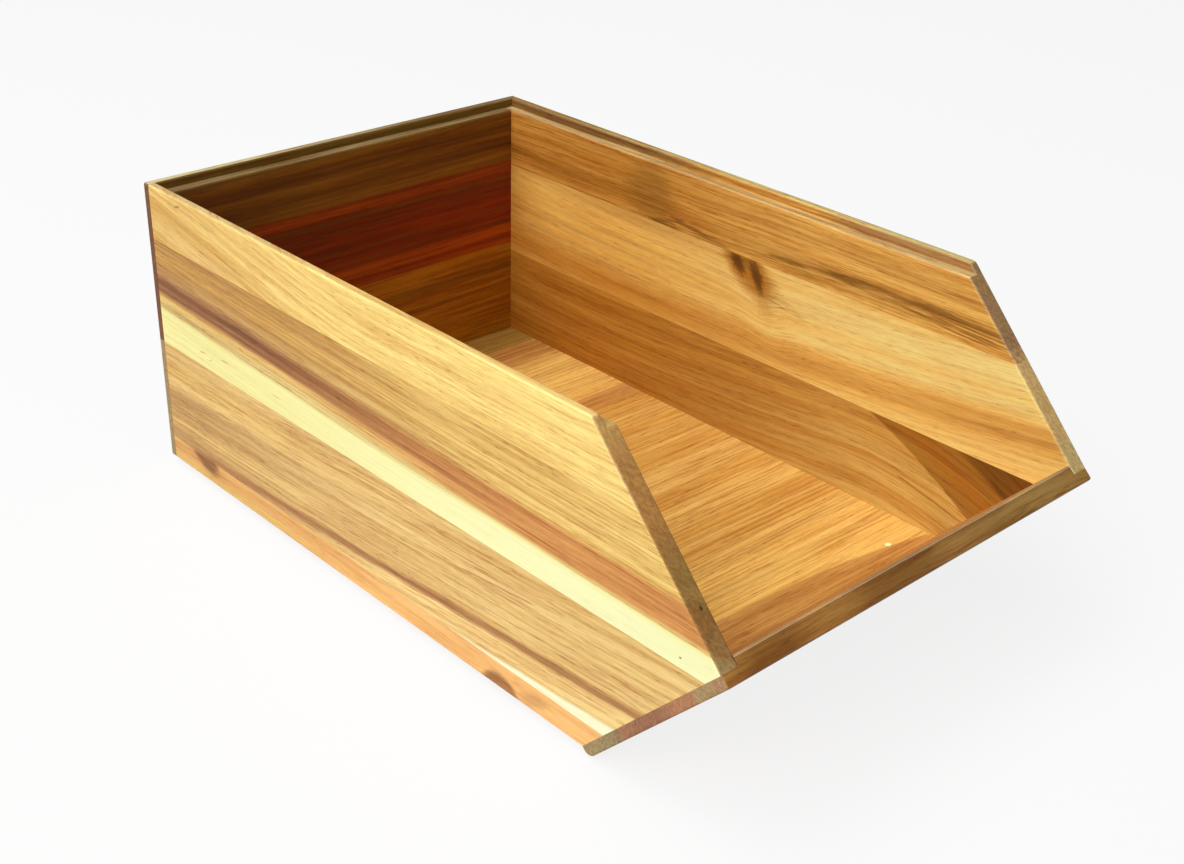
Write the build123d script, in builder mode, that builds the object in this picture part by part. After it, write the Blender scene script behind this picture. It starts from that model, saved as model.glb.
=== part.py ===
"""A wooden pantry bin that stacks: two pentagonal sides, a back, a floor and a low sloping front board.

Every board is glued up from staves, edge to edge, and each stave is a piece of its own. The sides and the
back have a lip round the top and a tongue round the bottom, so that one bin sits in the next. The front is
towards -Y, the left side is towards -X, and the origin is the middle of the bin's footprint, under the
tongue. Depths are measured forward from the outer face of the back, and heights up from the tongue's foot.
"""
import os
from math import atan2, cos, hypot, sin, tan

from build123d import *

# Driving sizes of the whole bin
outer_width = 210.0
rim_length = 286.5  # from the back to the front end of the rim, and the same along the bottom edge
side_height = 134.6  # from the outer bottom edge to the rim
nose_reach = 63.3  # how far the nose stands out in front of the rim
nose_height = 66.7  # from the outer bottom edge to the nose
wall = 8.5  # thickness of the sides

# The lip that the next bin stands on, and the tongue that drops inside it
lip_thickness = 4.0
lip_height = 4.0
stack_clearance = 0.3

# Corner joints, and the groove that holds the floor
back_thickness = 9.0
back_lap = 4.3  # part of the back's thickness that covers the rear ends of the sides
front_thickness = 9.0
front_lap = 5.0  # part of the front board's thickness that covers the front ends of the sides
floor_rise = 2.0  # from the outer bottom edge to the underside of the floor
floor_thickness = 8.5
groove_depth = 4.0
groove_clearance = 0.2

# Rounded corners and sanded edges
corner_round = 0.8
crest_round = 3.0  # where the level rim turns down towards the nose
toe_round = 3.4
edge_ease = 1.0
tongue_ease = 0.4

overrun = 5.0  # how far a cut runs on past the wood

# Glue lines, as shares of the height of the sides, the length of the rim and the length of the slope
left_glue_shares = (0.085, 0.446, 0.8135)
right_glue_shares = (0.052, 0.409, 0.758)
back_glue_shares = (0.067, 0.446, 0.776)
floor_glue_shares = (0.161, 0.339, 0.542, 0.710, 0.871)
front_glue_shares = (0.283, 0.805)

# Sizes that follow from them
half_width = outer_width / 2
inner_half_width = half_width - wall
inner_width = 2 * inner_half_width
lap_inside = front_thickness - front_lap
tongue_drop = lip_height - stack_clearance
tongue_inset = lip_thickness + stack_clearance
shoulder = tongue_drop  # height of the outer bottom edge
rim = shoulder + side_height
floor_bottom = shoulder + floor_rise
floor_top = floor_bottom + floor_thickness
nose_depth = rim_length + nose_reach
slope = atan2(nose_height, nose_reach)
slope_length = hypot(nose_reach, nose_height)
easing_loss = edge_ease * (sin(slope) + cos(slope) - 1)  # what sanding takes off the foremost corner
overall_length = nose_depth + front_lap * sin(slope) - easing_loss
back_y = overall_length / 2  # outer face of the back


def at(depth, height):
    """A point of a profile on the YZ plane, from its depth in front of the back's face and its height."""
    return (back_y - depth, height)


def slope_depth(height, inside):
    """Depth, at a height, of a line that lies inside the slope where the sides meet the front board."""
    return rim_length + (height - shoulder) / tan(slope) - inside / sin(slope)


# The plane that crosses the slope at its foot: X across the bin, Y into it and Z up the slope
foot_plane = Plane(
    origin=(0, back_y - rim_length, shoulder),
    x_dir=(1, 0, 0),
    z_dir=(0, -nose_reach, nose_height),
)
rim_slope = Axis((0, 0, 0), (0, nose_reach, side_height - nose_height))  # the slanted ends of the rim
board_slope = Axis((0, 0, 0), (0, -nose_reach, nose_height))  # the slope of the front board
board_thickness = Axis((0, 0, 0), (0, nose_height, nose_reach))  # square to that slope

# The space inside the lip, which takes the tongue of the next bin
with BuildPart() as lip_space:
    with BuildSketch(Plane.XY.offset(rim - lip_height)):
        with Locations((0, back_y - lip_thickness)):
            Rectangle(outer_width - 2 * lip_thickness, nose_depth, align=(Align.CENTER, Align.MAX))
    extrude(amount=lip_height + overrun)

# The space round the tongue, where the lip of the bin below comes up
with BuildPart() as tongue_space:
    with BuildSketch(Plane.XY.offset(-overrun)):
        with Locations((0, back_y + overrun)):
            Rectangle(outer_width + 2 * overrun, nose_depth + 2 * overrun, align=(Align.CENTER, Align.MAX))
        with Locations((0, back_y - tongue_inset)):
            Rectangle(
                outer_width - 2 * tongue_inset,
                nose_depth + 2 * overrun,
                align=(Align.CENTER, Align.MAX),
                mode=Mode.SUBTRACT,
            )
    extrude(amount=shoulder + overrun)

# The groove for the floor, which runs round the inside of the sides and the back
with BuildPart() as floor_groove:
    with BuildSketch(Plane.XY.offset(floor_bottom)):
        with Locations((0, back_y - back_thickness + groove_depth)):
            Rectangle(inner_width + 2 * groove_depth, nose_depth, align=(Align.CENTER, Align.MAX))
    extrude(amount=floor_thickness)


def make_side(hand):
    """A whole side board: -1 is the left one and 1 the right one."""
    outer_x = hand * half_width
    with BuildPart() as side:
        with BuildSketch(Plane.YZ.offset(outer_x)) as outline:
            with BuildLine():
                Polyline(
                    at(back_lap, 0),
                    at(slope_depth(0, 0), 0),
                    at(nose_depth, shoulder + nose_height),
                    at(rim_length, rim),
                    at(back_lap, rim),
                    close=True,
                )
            make_face()
            crest = outline.vertices().group_by(Axis.Y)[-1].sort_by(Axis.X)[0]
            fillet(crest, radius=crest_round)
        extrude(amount=-hand * wall)
        add(lip_space.part, mode=Mode.SUBTRACT)
        add(tongue_space.part, mode=Mode.SUBTRACT)
        add(floor_groove.part, mode=Mode.SUBTRACT)
        long_edges = side.edges().filter_by(Axis.Y).filter_by(lambda edge: edge.length > nose_reach)
        foot_edges = long_edges.group_by(Axis.Z)[0]
        top_edges = long_edges.group_by(Axis.Z)[-1]
        ledge_edge = long_edges.group_by(Axis.Z)[-2].sort_by(Axis.X)[0 if hand > 0 else -1]
        shoulder_edge = long_edges.group_by(Axis.Z)[1].sort_by(Axis.X)[-1 if hand > 0 else 0]
        slanted_edges = side.edges().filter_by(rim_slope)
        fillet([*top_edges, ledge_edge, shoulder_edge, *slanted_edges], radius=edge_ease)
        fillet(foot_edges, radius=tongue_ease)
    return side.part


def cut_into_staves(board, names, glue_planes):
    """Writes a board's staves, which the glue planes part, in the order of the planes' normal."""
    for number, name in enumerate(names):
        with BuildPart() as stave:
            add(board)
            if number > 0:
                split(bisect_by=glue_planes[number - 1], keep=Keep.TOP)
            if number < len(glue_planes):
                split(bisect_by=glue_planes[number], keep=Keep.BOTTOM)
        stave.part.label = name
        export_step(stave.part, f"parts/{name}.step")


def level_planes(shares):
    """The level glue planes of an upright board."""
    return [Plane.XY.offset(shoulder + share * side_height) for share in shares]


os.makedirs("parts", exist_ok=True)
upright_places = ("bottom", "lower", "upper", "top")

# Left and right sides
left_names = [f"left_side_{place}_stave" for place in upright_places]
right_names = [f"right_side_{place}_stave" for place in upright_places]
cut_into_staves(make_side(-1), left_names, level_planes(left_glue_shares))
cut_into_staves(make_side(1), right_names, level_planes(right_glue_shares))

# Back, whose outer skin covers the rear ends of the sides
with BuildPart() as back_board:
    with BuildSketch():
        with Locations((0, back_y)):
            Rectangle(outer_width, back_lap, align=(Align.CENTER, Align.MAX))
        with Locations((0, back_y - back_lap)):
            Rectangle(inner_width, back_thickness - back_lap, align=(Align.CENTER, Align.MAX))
    extrude(amount=rim)
    back_corners = back_board.edges().filter_by(Axis.Z).group_by(Axis.Y)[-1]
    fillet(back_corners, radius=corner_round)
    add(lip_space.part, mode=Mode.SUBTRACT)
    add(tongue_space.part, mode=Mode.SUBTRACT)
    add(floor_groove.part, mode=Mode.SUBTRACT)
    back_edges = back_board.edges().filter_by(Axis.X).filter_by(lambda edge: edge.length > inner_half_width)
    back_foot_edges = back_edges.group_by(Axis.Z)[0]
    back_top_edges = back_edges.group_by(Axis.Z)[-1]
    back_ledge_edge = back_edges.group_by(Axis.Z)[-2].sort_by(Axis.Y)[0]
    back_shoulder_edge = back_edges.group_by(Axis.Z)[1].sort_by(Axis.Y)[-1]
    fillet([*back_top_edges, back_ledge_edge, back_shoulder_edge], radius=edge_ease)
    fillet(back_foot_edges, radius=tongue_ease)
back_names = [f"back_{place}_stave" for place in upright_places]
cut_into_staves(back_board.part, back_names, level_planes(back_glue_shares))

# Floor, held in the groove on three sides, with its front edge bevelled against the front board
with BuildPart() as floor_board:
    with BuildSketch(Plane.YZ.offset(-inner_half_width - groove_depth + groove_clearance)):
        with BuildLine():
            Polyline(
                at(back_thickness - groove_depth + groove_clearance, floor_bottom),
                at(slope_depth(floor_bottom, lap_inside), floor_bottom),
                at(slope_depth(floor_top, lap_inside), floor_top),
                at(back_thickness - groove_depth + groove_clearance, floor_top),
                close=True,
            )
        make_face()
    extrude(amount=inner_width + 2 * (groove_depth - groove_clearance))
floor_names = [f"floor_stave_{number + 1}" for number in range(len(floor_glue_shares) + 1)]
floor_planes = [
    Plane(origin=(0, back_y - share * rim_length, 0), z_dir=(0, -1, 0)) for share in floor_glue_shares
]
cut_into_staves(floor_board.part, floor_names, floor_planes)

# Front board, whose outer half covers the front ends of the sides and whose inner half fits between them
with BuildPart() as front_board:
    with BuildSketch(foot_plane):
        Rectangle(outer_width, front_lap, align=(Align.CENTER, Align.MAX))
        Rectangle(inner_width, lap_inside, align=(Align.CENTER, Align.MIN))
    extrude(amount=slope_length)
    toe_edge = front_board.edges().filter_by(Axis.X).sort_by(Axis.Z)[0]
    fillet(toe_edge, radius=toe_round)
    head_edges = front_board.edges().filter_by(Axis.X).group_by(Axis.Z)[-1]
    nose_edge = front_board.edges().filter_by(Axis.X).sort_by(Axis.Y)[0]
    end_edges = front_board.edges().filter_by(board_slope).group_by(Axis.Y)[0]
    thickness_edges = front_board.edges().filter_by(board_thickness).group_by(Axis.X)
    tip_edges = [thickness_edges[end].sort_by(Axis.Z)[-1] for end in (0, -1)]
    fillet([*head_edges, nose_edge, *end_edges, *tip_edges], radius=edge_ease)
front_names = [f"front_board_{place}_stave" for place in ("lower", "middle", "upper")]
front_planes = [foot_plane.offset(share * slope_length) for share in front_glue_shares]
cut_into_staves(front_board.part, front_names, front_planes)
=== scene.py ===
"""A wooden pantry bin, glued up from staves of warm, streaky hardwood, on a pale studio floor.

Every board keeps its built shape. What is made here is the wood: each stave has its own stripes, growth
rings, fibres, pores, knots and end grain, worked out from the place of a point in its board.
"""
import math

import bpy
from mathutils import Matrix, Vector


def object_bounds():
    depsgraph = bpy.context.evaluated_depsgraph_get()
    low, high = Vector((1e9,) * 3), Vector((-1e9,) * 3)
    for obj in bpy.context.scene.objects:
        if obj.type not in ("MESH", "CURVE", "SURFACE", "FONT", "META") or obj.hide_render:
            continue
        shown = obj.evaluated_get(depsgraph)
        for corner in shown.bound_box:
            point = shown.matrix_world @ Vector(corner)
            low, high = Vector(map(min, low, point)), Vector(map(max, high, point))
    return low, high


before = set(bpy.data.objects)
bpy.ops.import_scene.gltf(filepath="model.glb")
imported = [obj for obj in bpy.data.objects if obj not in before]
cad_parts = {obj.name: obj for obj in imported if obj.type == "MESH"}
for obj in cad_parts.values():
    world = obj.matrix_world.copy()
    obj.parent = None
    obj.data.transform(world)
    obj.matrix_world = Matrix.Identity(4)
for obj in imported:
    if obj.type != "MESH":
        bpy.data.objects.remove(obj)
built_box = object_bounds()

MM = 0.001  # a millimetre in metres

# The bin's sizes that the wood follows, as the boards are built
WIDTH = built_box[1].x - built_box[0].x
BACK_Y = built_box[1].y
BOTTOM_EDGE = 3.7 * MM  # height of the outer bottom edge over the tongue's foot
FLOOR_TOP = 14.2 * MM
WALL = 8.5 * MM
RIM_LENGTH = 286.5 * MM
BACK_THICKNESS = 9.0 * MM

# Heights over the outer bottom edge, and how far the nose is in front of the rim, in millimetres
RIM_HEIGHT = 134.6
LEDGE_HEIGHT = 130.6
NOSE_HEIGHT = 66.7
NOSE_REACH = 63.3

# Directions up the front board and square to it, outwards
BOARD_SLOPE = math.atan2(NOSE_HEIGHT, NOSE_REACH)
BOARD_UP = (0, -math.cos(BOARD_SLOPE), math.sin(BOARD_SLOPE))
BOARD_OUT = (0, -math.sin(BOARD_SLOPE), -math.cos(BOARD_SLOPE))


# Node trees

AXES = ("Along", "Across", "Through")  # of a board


class Wires:
    """Puts nodes into one node tree and joins them."""

    def __init__(self, tree):
        self.tree = tree

    def feed(self, socket, value):
        """Joins an output to a socket, or sets the socket to a plain value."""
        if isinstance(value, bpy.types.NodeSocket):
            self.tree.links.new(value, socket)
        else:
            socket.default_value = value

    def node(self, kind, inputs=None, **settings):
        """A new node with its settings, and its inputs by name or number."""
        made = self.tree.nodes.new(kind)
        for name, value in settings.items():
            setattr(made, name, value)
        for key, value in (inputs or {}).items():
            self.feed(made.inputs[key], value)
        return made

    def math(self, operation, first, second=0.0, third=0.0):
        inputs = {0: first, 1: second, 2: third}
        return self.node("ShaderNodeMath", inputs, operation=operation).outputs[0]

    def minus(self, first, second):
        return self.math("SUBTRACT", first, second)

    def times(self, first, second):
        return self.math("MULTIPLY", first, second)

    def over(self, first, second):
        return self.math("DIVIDE", first, second)

    def times_plus(self, first, second, third):
        """The first times the second, plus the third."""
        return self.math("MULTIPLY_ADD", first, second, third)

    def vector(self, operation, first, second):
        made = self.node("ShaderNodeVectorMath", {0: first, 1: second}, operation=operation)
        return made.outputs["Value" if operation == "DOT_PRODUCT" else "Vector"]

    def point(self, along, across, through):
        return self.node("ShaderNodeCombineXYZ", {0: along, 1: across, 2: through}).outputs[0]

    def place(self, given):
        """The point whose three places in the board a group is given."""
        return self.point(*(given[axis] for axis in AXES))

    def ease(self, value, low, high):
        """Goes smoothly from 0 at low to 1 at high; low may be the larger."""
        inputs = {"Value": value, "From Min": low, "From Max": high}
        return self.node("ShaderNodeMapRange", inputs, interpolation_type="SMOOTHSTEP").outputs[0]

    def mix(self, share, first, second, blend="MIX"):
        """Blends two colours; the share is that of the second."""
        inputs = {0: share, 6: first, 7: second}
        return self.node("ShaderNodeMix", inputs, data_type="RGBA", blend_type=blend).outputs[2]

    def noise(self, place, lengths, seed, detail=2.0, roughness=0.5):
        """Noise whose blotches are as long, wide and deep as the three lengths in millimetres."""
        scaled = self.vector("DIVIDE", place, lengths)
        offset = self.point(self.times(seed, 17.3), self.times(seed, 5.9), seed)
        inputs = {"Vector": self.vector("ADD", scaled, offset), "Scale": 1.0, "Detail": detail}
        return self.node("ShaderNodeTexNoise", {**inputs, "Roughness": roughness}).outputs[0]

    def ragged(self, value, noise, amount):
        """Moves a value up and down by noise, by the amount at most."""
        swing = self.times(self.minus(noise, 0.5), 2.0)
        return self.times_plus(swing, amount, value)


NUMBER, VECTOR, COLOUR = "NodeSocketFloat", "NodeSocketVector", "NodeSocketColor"
PLACE = dict.fromkeys((*AXES, "Seed"), 0.0)
RUN = {"Start": 0.0, "Start Height": 0.0, "End": 100.0, "End Height": 0.0}


def start_group(name, takes, gives):
    """A new node group, with its inputs' names and values, and its outputs' names.

    An input's value is a number, a vector of three or a colour of four. Outputs are numbers, but for Color.
    """
    group = bpy.data.node_groups.new(name, "ShaderNodeTree")
    for label, value in takes.items():
        kind = {3: VECTOR, 4: COLOUR}[len(value)] if isinstance(value, tuple) else NUMBER
        group.interface.new_socket(label, in_out="INPUT", socket_type=kind).default_value = value
    for label in gives:
        kind = COLOUR if label == "Color" else NUMBER
        group.interface.new_socket(label, in_out="OUTPUT", socket_type=kind)
    wires = Wires(group)
    return wires, group.nodes.new("NodeGroupInput").outputs, group.nodes.new("NodeGroupOutput").inputs


def make_board_place():
    """Where a point is in its board, in millimetres from its corner, and whether it is on end grain."""
    takes = {"Corner": (0, 0, 0), "Along": (0, 1, 0), "Across": (0, 0, 1), "Through": (1, 0, 0)}
    wires, given, out = start_group("board_place", takes, [*AXES, "End Grain"])
    here = wires.node("ShaderNodeTexCoord").outputs
    from_corner = wires.vector("SUBTRACT", here["Object"], given["Corner"])
    in_millimetres = wires.vector("DIVIDE", from_corner, (MM, MM, MM))
    for axis in AXES:
        wires.feed(out[axis], wires.vector("DOT_PRODUCT", in_millimetres, given[axis]))
    facing = wires.math("ABSOLUTE", wires.vector("DOT_PRODUCT", here["Normal"], given["Along"]))
    wires.feed(out["End Grain"], wires.ease(facing, 0.35, 0.62))


def make_grain_run():
    """How the grain lines run: a point's Line is the height that its line has at the middle.

    Behind the middle and ahead of it the lines rise at two rates, and arch by so much in the first 100 mm.
    They waver, and lean through the board. Fibre is the same run with only the small part of the waver.
    """
    takes = {**PLACE, "Middle": 0.0, "Rise Behind": 0.0, "Rise Ahead": 0.0, "Arch Behind": 0.0}
    takes |= {"Arch Ahead": 0.0, "Lean": 0.3, "Waver": 1.0}
    wires, given, out = start_group("grain_run", takes, ["Line", "Fibre"])
    bend_length = 30.0  # over which the rise behind goes over into the rise ahead
    from_middle = wires.minus(given["Along"], given["Middle"])
    behind = wires.math("SMOOTH_MIN", from_middle, 0.0, bend_length)
    ahead = wires.minus(from_middle, behind)
    height = given["Across"]
    for part, side in ((behind, "Behind"), (ahead, "Ahead")):
        height = wires.minus(height, wires.times(part, given["Rise " + side]))
        hundreds = wires.over(part, 100.0)
        squared = wires.times(hundreds, hundreds)
        height = wires.times_plus(squared, wires.times(given["Arch " + side], -1.0), height)
    height = wires.times_plus(given["Through"], given["Lean"], height)
    place = wires.place(given)
    waves = wires.noise(place, (90.0, 22.0, 30.0), given["Seed"])
    ripples = wires.noise(place, (24.0, 14.0, 14.0), given["Seed"], detail=1.0)
    ripple_share, ripple_height = 0.3, 0.35
    wires.feed(out["Fibre"], wires.ragged(height, ripples, wires.times(given["Waver"], ripple_share)))
    wavy = wires.ragged(height, waves, given["Waver"])
    wires.feed(out["Line"], wires.ragged(wavy, ripples, ripple_height))


def make_patch():
    """A soft, ragged smudge in the wood, which may be made of thin streaks."""
    takes = {**PLACE, "From Back": 0.0, "Height": 0.0, "Half Length": 10.0, "Half Height": 5.0, "Tilt": 0.0}
    takes |= {"Softness": 0.4, "Raggedness": 0.3, "Streaks": 0.0}
    wires, given, out = start_group("patch", takes, ["Patch"])
    seed, softness = given["Seed"], given["Softness"]
    length = wires.minus(given["Along"], given["From Back"])
    rise = wires.minus(given["Across"], wires.times_plus(length, given["Tilt"], given["Height"]))
    u = wires.over(length, given["Half Length"])
    v = wires.over(rise, given["Half Height"])
    radius = wires.math("SQRT", wires.times_plus(u, u, wires.times(v, v)))
    edge = wires.noise(wires.place(given), (9.0, 1.4, 3.0), seed, detail=3.0, roughness=0.6)
    torn = wires.ragged(radius, edge, given["Raggedness"])
    body = wires.ease(torn, wires.math("ADD", 1.0, softness), wires.minus(1.0, softness))
    on_tilt = wires.point(given["Along"], rise, given["Through"])
    thin = wires.noise(on_tilt, (22.0, 0.75, 2.0), seed, detail=3.0, roughness=0.6)
    gaps = wires.times(wires.ease(thin, 0.57, 0.47), given["Streaks"])
    wires.feed(out["Patch"], wires.times(body, wires.minus(1.0, gaps)))


def make_knot():
    """A knot cut at a slant: a dark heart torn into strokes that spread from its middle, in a warm halo.

    Push is how far the knot pushes the grain lines apart above and below it.
    """
    takes = {**PLACE, "From Back": 0.0, "Height": 0.0, "Half Length": 5.0, "Half Height": 5.0, "Turn": 0.0}
    takes |= {"Feather": 0.45, "Halo Size": 2.6}
    wires, given, out = start_group("knot", takes, ["Heart", "Halo", "Push"])
    seed = given["Seed"]
    length = wires.minus(given["Along"], given["From Back"])
    rise = wires.minus(given["Across"], given["Height"])
    angle = wires.math("RADIANS", given["Turn"])
    cosine, sine = wires.math("COSINE", angle), wires.math("SINE", angle)
    u = wires.times_plus(length, cosine, wires.times(rise, sine))
    v = wires.minus(wires.times(rise, cosine), wires.times(length, sine))
    u = wires.over(u, given["Half Length"])
    v = wires.over(v, given["Half Height"])
    squares = wires.times_plus(u, u, wires.times(v, v))
    radius = wires.math("MAXIMUM", wires.math("SQRT", squares), 0.01)
    ray = wires.point(wires.over(u, radius), wires.over(v, radius), radius)
    strokes = wires.noise(ray, (0.35, 0.35, 1.6), seed, roughness=0.6)
    torn = wires.ragged(radius, strokes, given["Feather"])
    specks = wires.noise(wires.place(given), (2.2, 0.8, 2.0), seed, roughness=0.6)
    torn = wires.ragged(torn, specks, 0.35)
    wires.feed(out["Heart"], wires.ease(torn, 1.25, 0.35))
    wires.feed(out["Halo"], wires.ease(torn, given["Halo Size"], 0.7))
    most_push, fall = 0.22, -0.12  # how strong the push is in the knot, and how fast it fades outside it
    nearness = wires.math("EXPONENT", wires.times(squares, fall))
    wires.feed(out["Push"], wires.times(wires.times(rise, nearness), most_push))


def follow_run(wires, given):
    """How far a point is along a mark's run, from 0 at its start to 1 at its end, and the run's height."""
    length = wires.minus(given["End"], given["Start"])
    gone = wires.over(wires.minus(given["Along"], given["Start"]), length)
    rise = wires.minus(given["End Height"], given["Start Height"])
    return gone, wires.times_plus(gone, rise, given["Start Height"])


def make_streak():
    """A dark line in the wood from one point of the board to another.

    It wavers, its edges are torn, and it splits into strands.
    """
    takes = {**PLACE, **RUN, "Half Thickness": 1.0, "Waver": 0.5, "Raggedness": 0.5, "Strands": 0.3}
    wires, given, out = start_group("streak", takes, ["Streak"])
    seed, place = given["Seed"], wires.place(given)
    gone, centre = follow_run(wires, given)
    centre = wires.ragged(centre, wires.noise(place, (26.0, 40.0, 12.0), seed), given["Waver"])
    away = wires.math("ABSOLUTE", wires.minus(given["Across"], centre))
    away = wires.over(away, given["Half Thickness"])
    tears = wires.noise(place, (13.0, 0.9, 1.5), seed, detail=3.0, roughness=0.65)
    body = wires.ease(wires.ragged(away, tears, given["Raggedness"]), 1.25, 0.25)
    gaps = wires.ease(wires.noise(place, (30.0, 0.7, 2.0), seed), 0.42, 0.58)
    body = wires.times(body, wires.minus(1.0, wires.times(gaps, given["Strands"])))
    starts = wires.ease(gone, 0.0, 0.12)
    stops = wires.ease(gone, 1.0, 0.86)
    wires.feed(out["Streak"], wires.times(body, wires.times(starts, stops)))


def make_slant():
    """All the wood above a slanted edge from one point of the board to another, which may bow upwards."""
    takes = {**PLACE, **RUN, "Bow": 0.0, "Softness": 1.0, "Raggedness": 0.5}
    wires, given, out = start_group("slant", takes, ["Slant"])
    gone, edge = follow_run(wires, given)
    hump = wires.math("MAXIMUM", wires.times(gone, wires.minus(1.0, gone)), 0.0)
    edge = wires.times_plus(wires.times(hump, 4.0), given["Bow"], edge)
    tears = wires.noise(wires.place(given), (12.0, 1.6, 4.0), given["Seed"], detail=3.0, roughness=0.6)
    above = wires.ragged(wires.minus(given["Across"], edge), tears, given["Raggedness"])
    wires.feed(out["Slant"], wires.ease(above, wires.times(given["Softness"], -1.0), given["Softness"]))


FIGURES = ("Clouds", "Lines", "Veins", "Fibres", "Pores", "Mottling")


def make_fine_grain():
    """The small figure of the wood.

    Clouds are broad and soft, Lines are the growth lines, and Veins are thin brown ones in clusters.
    Fibres are finer than both, Pores are fine dashes that gather in the darker lines, and Mottling is the
    figure of the end grain.
    """
    takes = {"Along": 0.0, "Line": 0.0, "Fibre": 0.0, "Through": 0.0, "Line Spacing": 2.0, "Seed": 0.0}
    wires, given, out = start_group("fine_grain", takes, FIGURES)
    on_line = wires.point(given["Along"], given["Line"], given["Through"])
    on_fibre = wires.point(given["Along"], given["Fibre"], given["Through"])
    line_length, depth_of_widths = 75.0, 4.0
    line_depth = wires.times(given["Line Spacing"], depth_of_widths)
    spacing = wires.point(line_length, given["Line Spacing"], line_depth)

    def figure(place, lengths, low, high, detail=2.0, roughness=0.5):
        return wires.ease(wires.noise(place, lengths, given["Seed"], detail, roughness), low, high)

    lines = figure(on_line, spacing, 0.36, 0.6, 5.0, 0.68)
    veins = figure(on_line, (20.0, 0.65, 2.0), 0.55, 0.66, roughness=0.55)
    clusters = figure(on_line, (90.0, 5.0, 12.0), 0.42, 0.58)
    pores = figure(on_fibre, (6.0, 0.5, 0.5), 0.6, 0.7, detail=1.5)
    crowding = wires.math("MINIMUM", wires.minus(1.3, lines), 1.0)
    wires.feed(out["Clouds"], figure(on_line, (60.0, 9.0, 14.0), 0.36, 0.64, 3.0, 0.55))
    wires.feed(out["Lines"], lines)
    wires.feed(out["Veins"], wires.times(veins, clusters))
    wires.feed(out["Fibres"], wires.noise(on_fibre, (8.0, 0.42, 0.5), given["Seed"], 3.0, 0.6))
    wires.feed(out["Pores"], wires.times(pores, crowding))
    wires.feed(out["Mottling"], figure(on_fibre, (9.0, 1.3, 1.3), 0.36, 0.62, 3.0, 0.6))


def make_milled_lip():
    """Where a point is on the level cuts of the lip: on its top, or on the ledge beside it."""
    wires, given, out = start_group("milled_lip", {"Across": 0.0}, ["Lip Top", "Ledge"])
    height = given["Across"]
    normal = wires.node("ShaderNodeTexCoord").outputs["Normal"]
    level = wires.ease(wires.vector("DOT_PRODUCT", normal, (0, 0, 1)), 0.75, 0.95)
    on_top = wires.ease(height, RIM_HEIGHT - 1.8, RIM_HEIGHT - 1.0)
    over_wall = wires.ease(height, LEDGE_HEIGHT - 1.6, LEDGE_HEIGHT - 1.0)
    under_top = wires.ease(height, LEDGE_HEIGHT + 1.4, LEDGE_HEIGHT + 0.6)
    wires.feed(out["Lip Top"], wires.times(level, on_top))
    wires.feed(out["Ledge"], wires.times(level, wires.times(over_wall, under_top)))


def make_sanded_edge():
    """How far a point is on a rounded edge: its normal leaves the directions that the bin's faces have."""
    wires, _, out = start_group("sanded_edge", {}, ["Edge"])
    normal = wires.node("ShaderNodeTexCoord").outputs["Normal"]
    side_end = Vector((0, NOSE_HEIGHT - RIM_HEIGHT, NOSE_REACH)).normalized()
    nearest = 0.0
    for direction in ((1, 0, 0), (0, 1, 0), (0, 0, 1), side_end, BOARD_OUT, BOARD_UP):
        facing = wires.math("ABSOLUTE", wires.vector("DOT_PRODUCT", normal, direction))
        nearest = wires.math("MAXIMUM", facing, nearest)
    wires.feed(out["Edge"], wires.ease(nearest, 0.995, 0.95))


VEIN_TINT = (0.72, 0.5, 0.32, 1)
FIBRE_TINT = (0.72, 0.62, 0.5, 1)
MOTTLING_TINT = (0.6, 0.54, 0.48, 1)
PORE_TINT = (0.55, 0.38, 0.25, 1)
# the edges' pale tint: partly wear, partly painted highlight
EDGE_WEAR_AND_HIGHLIGHT_TINT = (0.9, 0.8, 0.6, 1)
PALEST = (0.97, 0.97, 0.97, 1)
END_SHARE = 0.85  # how much of the end grain's own colour shows
SAPWOOD_CALM = 0.85  # how much less of the small figure the pale sapwood shows
OILED_ROUGHNESS = 0.43


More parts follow.
